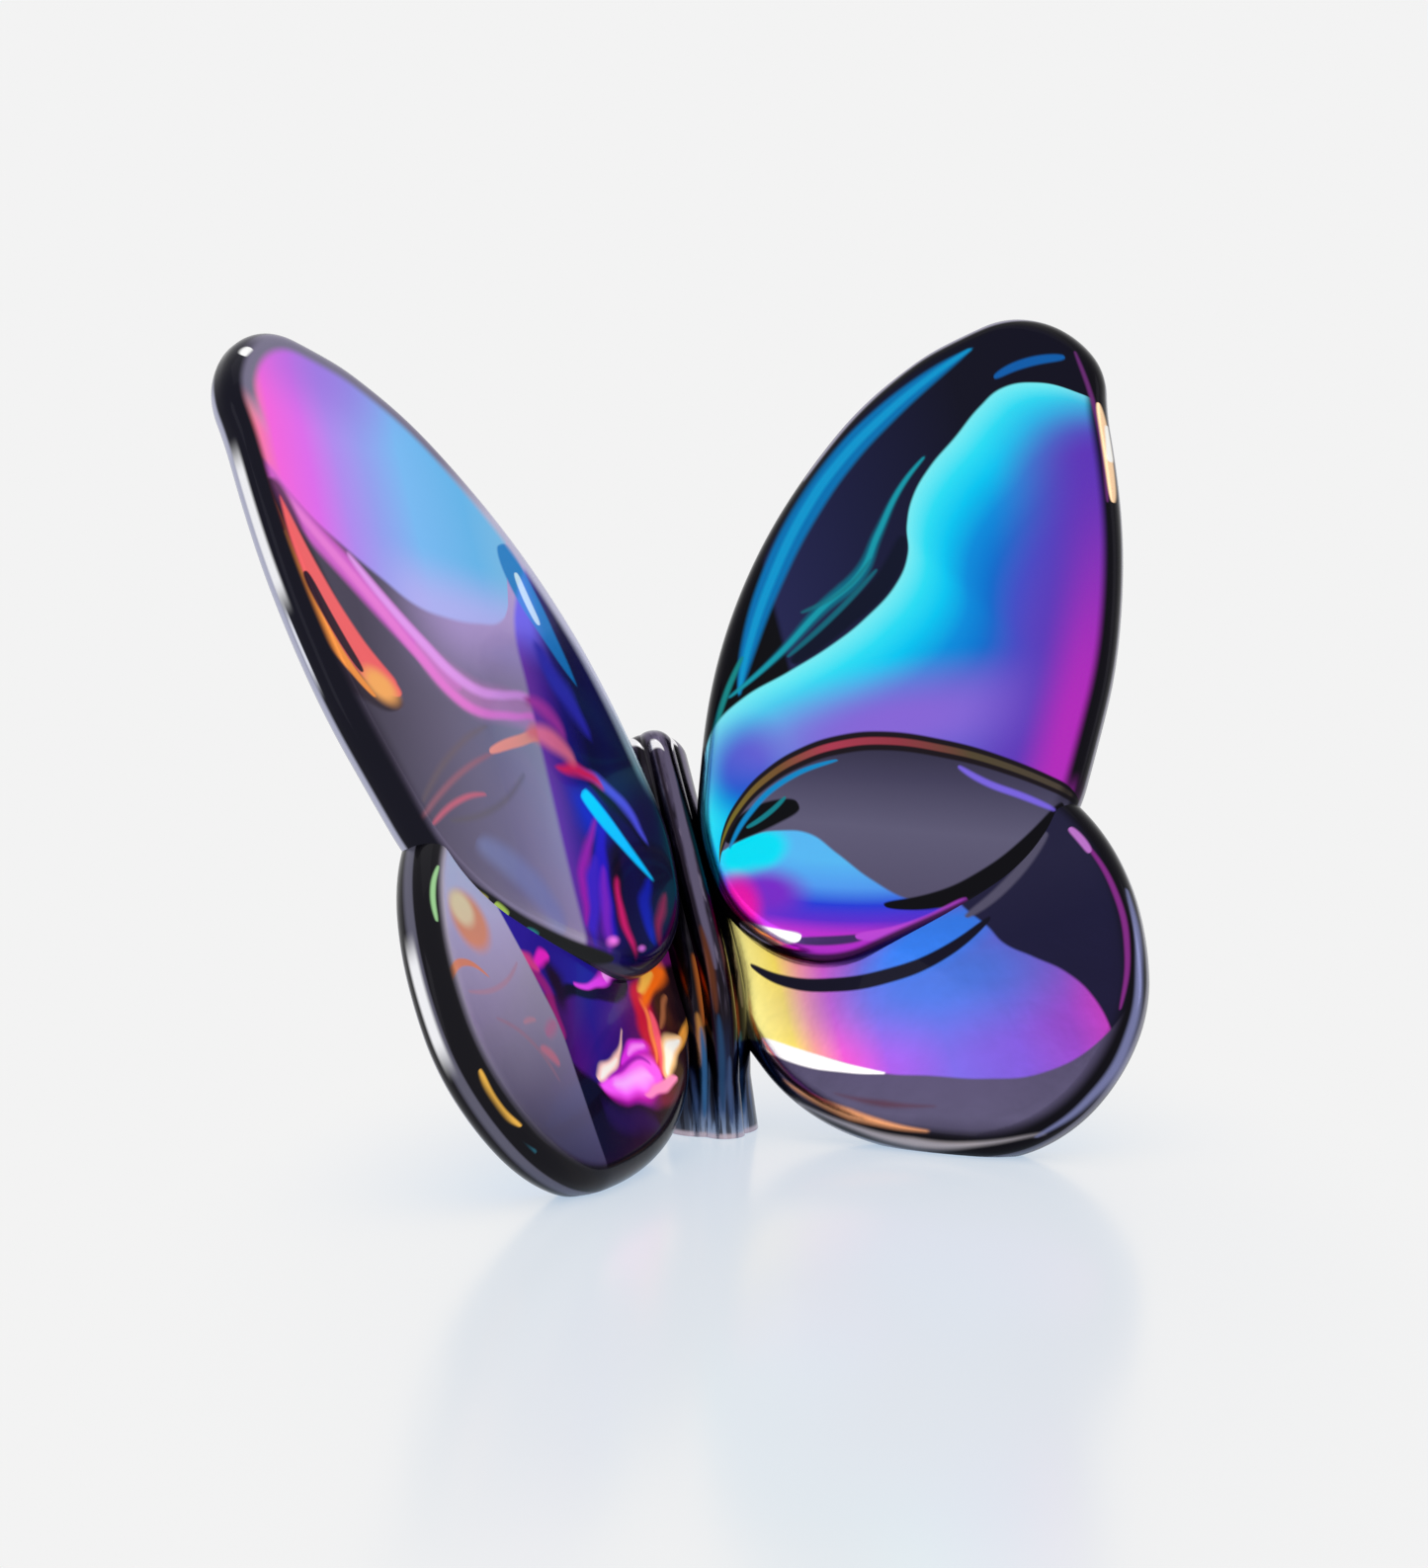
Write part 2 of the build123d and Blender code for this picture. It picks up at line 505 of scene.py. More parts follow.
def back_colours(paint, front, kind):
    """The coat seen from behind: soft iridescent bands, a painted patch of shade and one of light, a painted bright
    line and the dark rim deepened with painted shade.
    """
    noise = paint.nodes.new("ShaderNodeTexNoise")
    noise.inputs["Scale"].default_value = 0.05
    noise.inputs["Detail"].default_value = 1.0
    paint.links.new(paint.place, noise.inputs["Vector"])
    drift = paint.math("MULTIPLY", paint.math("SUBTRACT", noise.outputs["Fac"], 0.5), 60)
    share = paint.math("ADD", paint.math("ADD", paint.out, paint.up), drift)
    back = paint.ramp(share, [
        (-4, (42, 26, 92)), (14, (40, 70, 190)), (26, (20, 150, 224)), (36, (96, 70, 200)),
        (52, (176, 60, 194)), (70, (60, 38, 130)), (90, (26, 80, 170)),
    ])
    # Painted shade nearer the body and a painted patch of light further out
    near, far = painted_back_shade_and_light[kind]
    back = paint.patch(back, near, (4.5, 9), -35, (30, 20, 80), 0.9, 0.75)
    back = paint.patch(back, far, (5, 11), -30, (52, 176, 240), 0.9, 0.7)
    inset = paint.inset()
    # A painted highlight line inside the rim, then the dark rim deepened with painted shade
    line = paint.both(paint.step(inset, 1.3, 1.7), paint.step(inset, 3.4, 1.8))
    back = paint.over(back, line, (92, 120, 236), 0.6)
    back = paint.over(back, paint.step(inset, 1.6, 0.9), (8, 6, 16))
    equator = levels[kind]
    return paint.over(front, paint.step(paint.depth, equator - 0.05, equator - 0.6), back)


def rim_colours(paint, colour, widths, near, low=-20, dark=(8, 6, 16)):
    """Dark glass rim deepened with painted shade, thin beside the body and below the low line, with a painted pale
    highlight line at its very edge.
    """
    inset = paint.inset()
    place = paint.both(paint.step(paint.out, near, near + 5), paint.step(paint.up, low, low + 4))
    wide = paint.both(paint.step(inset, widths[1], widths[0]), place)
    colour = paint.over(colour, wide, dark)
    colour = paint.over(colour, paint.step(inset, 0.6, 0.3), dark, 0.9)
    return paint.over(colour, paint.step(inset, 0.05, 0.01), (120, 118, 140), 0.6)


def right_forewing_paint():
    paint = Paint("right_forewing_crystal")
    # Cyan band turning to blue and violet away from its bright upper edge, a painted reflection over the coat's colours
    swirl = [
        (4.6, 25.2), (6, 27.4), (8.6, 29), (12.5, 30), (16, 31), (19, 32.3), (22, 34.4), (23.3, 36.4),
        (23.8, 38.8), (24.8, 41), (26.6, 43), (29, 44.8), (31.4, 46.7), (33.4, 47.7), (36, 47.3), (38.6, 45.6),
    ]
    off = paint.offset(swirl)
    colour = paint.ramp(off, [
        (-24, (128, 72, 204)), (-16, (100, 70, 198)), (-11.5, (58, 88, 212)), (-9, (2, 112, 214)),
        (-6.5, (0, 146, 230)), (-4, (0, 206, 252)), (-2, (44, 230, 255)), (0, (124, 246, 255)),
    ])
    colour = paint.patch(colour, (7.6, 23.4), (2.6, 3.2), -20, (0, 92, 214), 0.6)
    colour = paint.patch(colour, (19.5, 23.4), (11, 3.0), -8, (140, 106, 224), 0.85)
    inward = paint.offset([(29, 15), (32, 20.6), (35, 27), (37.4, 34), (38.6, 40), (38.9, 45)])
    colour = paint.over(colour, paint.both(paint.step(inward, 8.5, 0.5), paint.step(paint.up, 47.5, 40)), (98, 56, 192))
    colour = paint.over(colour, paint.both(paint.step(inward, 3.6, 0), paint.step(paint.up, 40, 19)), (186, 44, 196))
    # Dark upper part, a painted dark reflection, with its blue streaks of painted reflection
    dark = paint.ramp(paint.out, [(8, (4, 4, 10)), (12.4, (6, 6, 14)), (12.8, (36, 38, 82)), (20, (26, 28, 64)),
                                  (30, (14, 14, 34)), (40, (12, 10, 30))])
    dark = paint.mark(dark, [(12.8, 30.6), (17, 32.6), (21, 34.8), (23.4, 38)], 1.6, (12, 18, 42), 0.6)
    top_streak = [(8.4, 29.4), (10, 33), (13, 38), (17, 43), (20.4, 46), (24, 48.3), (28, 50.3), (32, 51.8)]
    dark = paint.mark(dark, top_streak, 2.2, (0, 118, 186), 0.5, 0.55)
    dark = paint.mark(dark, top_streak, 0.7, (10, 156, 214), 0.4, 0.3)
    low_streak = [(7.6, 29.4), (12, 31.6), (16, 34.2), (19.5, 36.1), (21.5, 38.8), (24, 42), (26.4, 44)]
    dark = paint.mark(dark, low_streak, 1.3, (8, 104, 132), 0.5, 0.5)
    dark = paint.mark(dark, low_streak, 0.45, (20, 158, 176), 0.3, 0.3)
    dark = paint.mark(dark, [(12.6, 31.2), (17, 33.5), (20.8, 36)], 0.4, (16, 104, 124), 0.3)
    dark = paint.mark(dark, [(14.4, 34.4), (18, 35.2), (20.6, 37)], 0.35, (20, 120, 136), 0.3, amount=0.7)
    dark = paint.mark(dark, [(33, 48.8), (35.4, 49.2), (38.6, 48.7)], 0.7, (10, 96, 176), 0.3)
    dark = paint.mark(dark, [(5.4, 26), (7, 29), (9.4, 32.4)], 0.4, (20, 140, 140), 0.3)
    colour = paint.over(colour, paint.step(off, -0.15, 0.15), dark)
    # Below the arch, where the hindwing lies behind
    arch = [(4, 16.6), (4.8, 18.6), (6.6, 20.7), (9, 22.2), (12, 23), (15, 23), (18, 22.3), (22, 20.4), (26, 17.8),
            (30.6, 13.8)]
    under = paint.ramp(paint.offset([(6, 20), (18, 15), (30, 10)]),
                       [(-6, (86, 80, 108)), (0, (98, 94, 122)), (4, (70, 66, 94)), (7, (46, 43, 66))])
    left = paint.ramp(paint.offset([(4, 11.8), (12, 8), (22, 6)]), [
        (0.4, (190, 50, 212)), (1.4, (96, 46, 214)), (2.6, (40, 62, 222)), (4, (84, 160, 248)), (6, (90, 190, 252)),
    ])
    left = paint.patch(left, (6.6, 16.8), (2.6, 1.7), 0, (0, 230, 255), 0.3)
    left = paint.patch(left, (6.8, 13.4), (2.6, 1.6), -20, (124, 44, 206), 0.6)
    left = paint.patch(left, (4.7, 13), (1.5, 2.2), 0, (232, 20, 172), 0.5)
    edge = paint.offset([(4.6, 17.6), (7, 18.1), (9, 17.8), (11, 16.9), (12.6, 14.8), (14.6, 12), (17, 9.6), (22, 7.4)])
    under = paint.over(under, paint.step(edge, 0.15, -0.15), left)
    # A dark band of painted shade under the arch, with a thin teal painted reflection
    under = paint.mark(under, [(4.8, 18.4), (7.4, 19.2), (10.8, 19.4)], 2.0, (4, 5, 10), 0.3, 0.35)
    under = paint.mark(under, [(6.6, 18.8), (8.4, 19.4), (10, 20.3)], 0.35, (16, 128, 140), 0.2)
    # Painted shade along the forewing's lower edge, with violet, magenta and lavender lines of painted reflection
    under = paint.mark(under, [(15, 9.8), (19, 9.1), (22.4, 9.6), (26, 11.1), (29.5, 13.6)], 1.2, (6, 5, 12))
    under = paint.mark(under, [(8, 9.2), (10.4, 8.4), (13, 7.9)], 0.6, (66, 44, 100))
    under = paint.mark(under, [(12.4, 8.1), (16, 7.7), (21, 8.6)], 0.75, (198, 74, 224))
    under = paint.mark(under, [(22.8, 18.7), (24.4, 16.9), (27, 14.8), (28.8, 13.2)], 0.45, (126, 104, 232), 0.3)
    colour = paint.over(colour, paint.step(paint.offset(arch), 0.15, -0.15), under)
    # The arch: a bead line of painted shade, with thin lines of painted reflection along it
    colour = paint.mark(colour, arch, 1.3, (26, 18, 26), 0.25, 0.04)
    line = paint.ramp(paint.out, [(5, (122, 112, 40)), (10, (120, 84, 50)), (14, (176, 60, 84)), (19, (150, 56, 70)),
                                  (24, (86, 74, 52)), (30, (76, 66, 58))])
    colour = paint.mark(colour, arch, 0.5, line, 0.22, 0.06)
    colour = paint.mark(colour, [(5, 17.6), (7, 19.8), (10, 21.5), (14.4, 21.9)], 0.4, (10, 140, 205))
    colour = rim_colours(paint, colour, (0.8, 1.6), 4, 12)
    # Painted glints on the rim: a purple line at the outer side and a pale painted highlight along the top edge
    colour = paint.mark(colour, [(39.4, 49), (39.6, 43), (38.6, 36)], 0.3, (120, 50, 130), 0.25, amount=0.8)
    top_edge = [(17, 45.3), (25.1, 51.2), (30.2, 53), (36.2, 53.2), (39.2, 51.4)]
    colour = paint.mark(colour, top_edge, 0.5, (150, 146, 170), 0.35, 0.3)
    colour = paint.glint(colour, [(40, 44.4), (39.7, 41), (39, 36)], 0.55, (255, 214, 170), 0.2, 2.0)
    colour = paint.glint(colour, [(40.2, 42.6), (40, 41), (39.6, 39.4)], 0.5, (255, 255, 250), 0.2, 2.0)
    # White painted highlight low at the left
    colour = paint.mark(colour, [(4.2, 11.9), (6, 10.4), (8.6, 9.2)], 0.9, (255, 255, 255))
    return paint.finish(back_colours(paint, colour, "forewing"))


def left_forewing_paint():
    paint = Paint("left_forewing_crystal")
    colour = paint.ramp(paint.out, [
        (15, (172, 160, 190)), (18, (150, 139, 168)), (22, (120, 112, 143)), (27, (100, 92, 118)), (33, (70, 63, 84)),
    ])
    # Soft lavender haze of painted light, a blue-grey painted sheen and thin swirls under the bowl of painted light
    haze = paint.both(paint.step(paint.up, 25, 33), paint.step(paint.out, 31, 22))
    colour = paint.over(colour, haze, (184, 158, 220), 0.8)
    colour = paint.mark(colour, [(18, 8.8), (21, 12.2), (25.6, 14.4)], 2.2, (128, 138, 190), 1.7, amount=0.6)
    colour = paint.mark(colour, [(19, 21), (23, 17.4), (28, 15.4)], 0.4, (104, 96, 96), 0.6, amount=0.5)
    colour = paint.mark(colour, [(22, 24.2), (26, 21.4), (30.4, 16.4)], 0.4, (120, 100, 100), 0.6, amount=0.5)
    colour = paint.mark(colour, [(22, 22), (25, 20.2), (28, 17.8), (31, 14.8)], 0.35, (170, 104, 120), 0.5, amount=0.7)
    colour = paint.mark(colour, [(23.6, 18.4), (26, 17.6), (29.8, 14.8)], 0.35, (214, 104, 128), 0.45, amount=0.85)
    colour = paint.mark(colour, [(13.4, 23.5), (16, 24.6), (19, 23.6), (22.4, 22)], 0.8, (255, 156, 144), 0.3)
    # Bowl of painted light: sky blue turning to magenta at the outer rim
    glow = paint.ramp(paint.out, [
        (15, (122, 192, 236)), (19, (98, 186, 242)), (25, (120, 192, 252)), (29, (152, 164, 248)),
        (32, (182, 142, 248)), (35, (230, 108, 244)), (38, (252, 100, 230)), (39.8, (255, 132, 150)),
    ])
    glow = paint.patch(glow, (31.6, 51), (5.4, 3.4), 0, (150, 108, 226), 0.9, 0.6)
    glow = paint.over(glow, paint.both(paint.step(paint.up, 38.5, 33), paint.step(paint.out, 32, 26)), (200, 182, 252), 0.7)
    bowl = paint.offset([
        (15.6, 39), (16.6, 35.4), (18, 33.7), (20.5, 32.9), (24, 32.5), (27, 32.8), (30, 34.3), (33, 36), (36.5, 38.4),
        (40, 42.6), (41, 45),
    ])
    colour = paint.over(colour, paint.step(bowl, -0.35, 0.25), glow)
    # Pink bands of painted reflection across the bowl and below it
    colour = paint.mark(colour, [(24, 26.6), (28, 29.6), (33, 34), (37, 37.6), (39.8, 41.4)], 2.0, (240, 108, 232), 0.9,
                        amount=0.75)
    colour = paint.mark(colour, [(15, 25.6), (19, 26.3), (23, 26.3), (28, 29.4)], 2.6, (208, 134, 204), 1.5, amount=0.65)
    colour = paint.mark(colour, [
        (14.2, 25.6), (15.4, 27), (17, 27.6), (20, 27.1), (22, 26.9), (24.5, 27.7), (27, 29.6), (30, 32.3), (33, 35.6),
    ], 0.85, (236, 160, 248), 0.7)
    colour = paint.mark(colour, [
        (13.8, 23.9), (16, 26), (19, 25.6), (23, 25.2), (25, 26), (28, 28.8), (31.5, 32.4), (36, 36.8), (39.4, 40.2),
    ], 0.85, (240, 126, 222), 0.7)
    # Flame-shaped painted reflection by the outer rim: red and orange round a dark wedge
    colour = paint.mark(colour, [(31, 23.4), (35.4, 27), (38.2, 33), (39.8, 40)], 4.4, (36, 20, 38), 0.8, amount=0.85)
    colour = paint.mark(colour, [(30.5, 24.6), (33, 26.4), (35, 29), (37, 33.2), (38.6, 38.8)], 2.7, (248, 100, 104), 0.4,
                        shape=[(0, 0), (0.05, 0.65), (0.14, 1), (0.35, 0.95), (0.7, 0.6), (1, 0)])
    colour = paint.patch(colour, (32.3, 25.1), (1.6, 1.1), 30, (255, 176, 96), 0.5)
    colour = paint.mark(colour, [(33, 24), (35.3, 26.4), (37.2, 30), (38.5, 34), (39.3, 38.6)], 0.8, (248, 150, 66), 0.3)
    colour = paint.mark(colour, [(33.8, 25.8), (35.6, 28.7), (37.6, 33)], 0.85, (44, 8, 34), 0.25)
    colour = paint.mark(colour, [(38.7, 36), (39.4, 39), (39.8, 42.6)], 0.5, (158, 42, 44))
    # Dark strip along the body, with streaks of painted reflection; on the front face away from the rim it also glows
    # as painted light
    strip = paint.ramp(paint.out, [
        (6, (12, 6, 40)), (9, (8, 4, 62)), (11, (8, 4, 52)), (13, (20, 8, 98)), (14.6, (60, 20, 128)), (16.6, (98, 44, 146)),
    ])
    crown_part = paint.both(paint.step(paint.up, 30, 34.5), paint.step(paint.out, 12.6, 14.8))
    strip = paint.over(strip, crown_part, (98, 90, 220), 0.85)
    steady = paint.place
    paint.ripple(0.5, 0.4)
    strip = paint.mark(strip, [(10.4, 25.6), (13, 30), (14.6, 33)], 1.8, (36, 30, 150), 1.2, 0.45)
    strip = paint.patch(strip, (12.6, 19.2), (1.7, 2.2), -30, (22, 22, 172), 0.7)
    for line, width, tint in (
        ([(11, 19), (12.6, 14.6), (13, 8.6)], 1.5, (32, 18, 176)),
        ([(13, 15.6), (14.4, 11.6), (15, 8.2)], 1.3, (54, 28, 176)),
        ([(12.3, 14.8), (13.2, 11.4), (13.6, 8)], 0.9, (112, 30, 180)),
        ([(12.2, 19), (14.2, 15), (15.6, 9.6)], 0.8, (140, 20, 152)),
        ([(7.4, 15.2), (8.4, 12.6), (8.8, 9.4)], 1.1, (16, 26, 158)),
        ([(9.6, 17.4), (11, 14.4), (11.8, 10)], 1.1, (4, 2, 26)),
        ([(11, 14.4), (11.5, 11), (10.8, 8)], 0.7, (200, 22, 102)),
        ([(5.8, 14), (7, 12.2), (8.2, 9.6)], 0.6, (136, 12, 62)),
        ([(6.6, 17.4), (9, 20.3), (12.2, 21.9)], 0.8, (4, 2, 20)),
        ([(6.4, 18), (8.4, 20.8), (10.6, 22.3), (13.6, 22.8)], 1.0, (74, 76, 200)),
        ([(10.2, 21.8), (12.6, 22.7), (15.4, 22.2)], 0.9, (194, 22, 84)),
    ):
        strip = paint.mark(strip, line, width, tint, 0.8, 0.45)
    paint.place = steady
    # Cyan painted reflection and small pink painted glints low in the strip
    strip = paint.mark(strip, [(6.9, 15), (9.6, 17.6), (12.9, 20.9)], 1.5, (0, 192, 255), 0.5,
                       shape=[(0, 0.1), (0.4, 0.7), (0.8, 1), (1, 0.4)])
    strip = paint.patch(strip, (13.1, 8.9), (0.6, 0.3), -25, (255, 124, 240), 0.9)
    strip = paint.patch(strip, (10, 8.9), (0.4, 0.2), -25, (222, 112, 220), 0.9)
    edge = paint.offset([(15.9, 7), (16.3, 14), (16.6, 22), (16.7, 29), (16.6, 33), (15.4, 36.4), (13.4, 39.6)])
    beside = paint.step(edge, -0.3, 0.4)
    colour = paint.over(colour, beside, strip)
    # Painted glow: the strip's colour, given off as light through the finish
    painted_glow = paint.both(beside, paint.step(paint.inset(), 1.2, 2.4), paint.step(paint.depth, 2.4, 3.2))
    painted_glow = paint.over((0, 0, 0), painted_glow, strip)
    # Pink and peach painted reflections beside the strip, a blue patch above and a pale painted highlight in it
    colour = paint.mark(colour, [(13.4, 25), (15, 26.9), (17.4, 27.5)], 1.4, (176, 52, 150), 1.3, 0.45)
    colour = paint.mark(colour, [(12.8, 23.2), (15.2, 24.6), (18, 24.6)], 1.8, (250, 118, 132), 1.3, 0.45)
    colour = paint.mark(colour, [(10.6, 30.2), (12.6, 34), (14.4, 37.6), (15.6, 41)], 2.6, (0, 128, 202), 0.4,
                        shape=[(0, 0), (0.3, 0.6), (0.75, 1), (1, 0.1)])
    colour = paint.mark(colour, [(13.4, 34.6), (14.2, 36.8), (14.7, 38.8)], 0.75, (200, 232, 248))
    # Pale clear edge along the top, painted pale for the light seen through it, dark rim at the outer side deepened
    # with painted shade, and a white painted highlight at the tip
    inset = paint.inset()
    outer = paint.step(paint.offset([(24, 4), (31, 30), (38, 56)]), 1.0, -3.0)
    top = paint.step(paint.offset([(2, 22), (8, 26), (30, 40), (42, 48)]), -2.0, 1.0)
    pale = paint.ramp(paint.up, [(24, (150, 186, 196)), (30, (204, 206, 230)), (43, (190, 186, 212)), (47, (120, 114, 140))])
    colour = paint.over(colour, paint.both(paint.step(inset, 2.4, 1.5), top), pale)
    colour = paint.over(colour, paint.step(inset, 0.6, 0.25), (58, 54, 76))
    colour = paint.mark(colour, [(30.6, 13.4), (34.2, 19.6), (36.4, 25.6)], 3.0, (30, 24, 40), 2.2, 0.4)
    colour = paint.over(colour, paint.both(paint.step(inset, 1.15, 0.6), outer), (6, 5, 24))
    colour = paint.mark(colour, [(38.3, 51.2), (38.8, 50.8), (39.2, 50.3)], 0.5, (255, 255, 255))
    colour = back_colours(paint, colour, "forewing")
    # Painted highlight lines round the outer side of the rim
    colour = paint.over(colour, paint.both(paint.edge_line(1.5, 0.6, 30, 44), outer), (246, 246, 250))
    colour = paint.over(colour, paint.both(paint.edge_line(1.3, 0.2, 24, 32), outer), (226, 228, 240))
    colour = paint.over(colour, paint.both(paint.edge_line(0.75, 0.6, 8, 50), outer), (172, 174, 198))
    # Dark lower rim line with small yellow, green and teal painted glints
    colour = paint.mark(colour, [(13, 7.6), (20, 8.3), (25, 9.8), (30, 12.6)], 1.0, (20, 22, 24), 0.3)
    colour = paint.mark(colour, [(25.2, 10), (27, 10.7), (28.8, 11.7)], 0.4, (206, 200, 90))
    colour = paint.mark(colour, [(23.3, 9.1), (24, 9.4), (24.7, 9.8)], 0.6, (170, 202, 90))
    colour = paint.mark(colour, [(20.2, 8.2), (20.9, 8.35), (21.6, 8.5)], 0.5, (40, 150, 150))
    return paint.finish(colour, metallic=0.4, painted_glow=painted_glow)


def right_hindwing_paint():
    paint = Paint("right_hindwing_crystal")
    colour = paint.ramp(paint.out, [
        (4, (246, 232, 140)), (6, (240, 214, 96)), (7.6, (240, 150, 150)), (9.4, (226, 80, 196)), (12.5, (150, 82, 208)),
        (17, (108, 90, 200)), (22, (116, 80, 198)), (26, (144, 68, 190)), (29, (190, 58, 182)),
    ])
    colour = paint.patch(colour, (17.5, 3.6), (8, 3.6), -8, (70, 108, 206), 0.8)
    colour = paint.patch(colour, (18, 6.6), (5, 1.8), 8, (50, 118, 226), 0.5)
    # Dark upper right, a painted dark reflection, and the grey glass below
    dark = paint.offset([(19.8, 10), (20.8, 8), (22, 6.2), (22.8, 4.6), (24.6, 2.9), (26.6, 1), (28, -1.4), (28.7, -5)])
    deep = paint.ramp(paint.up, [(-5, (24, 20, 50)), (5, (26, 24, 56)), (10, (34, 32, 62))])
    colour = paint.over(colour, paint.step(dark, -0.15, 0.15), deep)
    colour = paint.mark(colour, [(20.6, 7.4), (24, 8.8), (28, 11.8)], 0.7, (84, 80, 104), 0.35)
    low = paint.offset([(4, 3.2), (8, 0.6), (12, -2), (15, -3.2), (19, -4.8), (23, -5.7), (27.5, -4.8), (31, -2)])
    grey = paint.ramp(low, [(-5, (22, 18, 34)), (-3, (80, 74, 102)), (0, (78, 70, 100))])
    colour = paint.over(colour, paint.step(low, 0.15, -0.15), grey)
    colour = paint.mark(colour, [(8, -2.2), (11, -4), (15, -5.6)], 0.5, (80, 30, 40), 0.5, 0.5, amount=0.6)
    # Painted shadow of the forewing's lower edge
    colour = paint.mark(colour, [(4.2, 9.4), (6.4, 7.3), (10, 5.7), (14, 5), (18, 5.2), (22.4, 6.8)], 1.0, (14, 12, 32))
    # White painted highlight low at the left
    colour = paint.mark(colour, [(3.6, 3.4), (6, 1.4), (9, -0.5), (12, -2)], 1.1, (255, 250, 252), 0.25,
                        shape=[(0, 0.6), (0.3, 1), (0.7, 0.6), (1, 0.1)])
    colour = rim_colours(paint, colour, (0.8, 1.7), 3)
    # Peach and silver glints on the lower rim, magenta on the outer one
    colour = paint.mark(colour, [(4.4, 0.2), (7, -2.6), (11, -5.6), (14, -7.2)], 0.6, (238, 162, 112), 0.5, 0.5)
    colour = paint.mark(colour, [(5, -1.6), (8.4, -4.7), (12.2, -7.2), (17, -9.1), (22, -9.8)], 0.5, (176, 168, 174), 0.4, 0.5)
    colour = paint.mark(colour, [(30.2, 10.6), (31.5, 6), (31.2, 1), (29.6, -3)], 0.35, (136, 44, 138), 0.25)
    colour = paint.mark(colour, [(29.6, 11.6), (30.2, 10.4), (30.6, 9.2)], 0.5, (196, 120, 210), 0.25)
    # Pale painted highlight line along the lower outer edge
    low_edge = [(32.3, 6), (31.8, 0.5), (29.6, -4.8), (25.6, -8.4), (21.2, -9.9)]
    colour = paint.mark(colour, low_edge, 0.4, (120, 124, 168), 0.3, 0.3)
    return paint.finish(back_colours(paint, colour, "hindwing"))


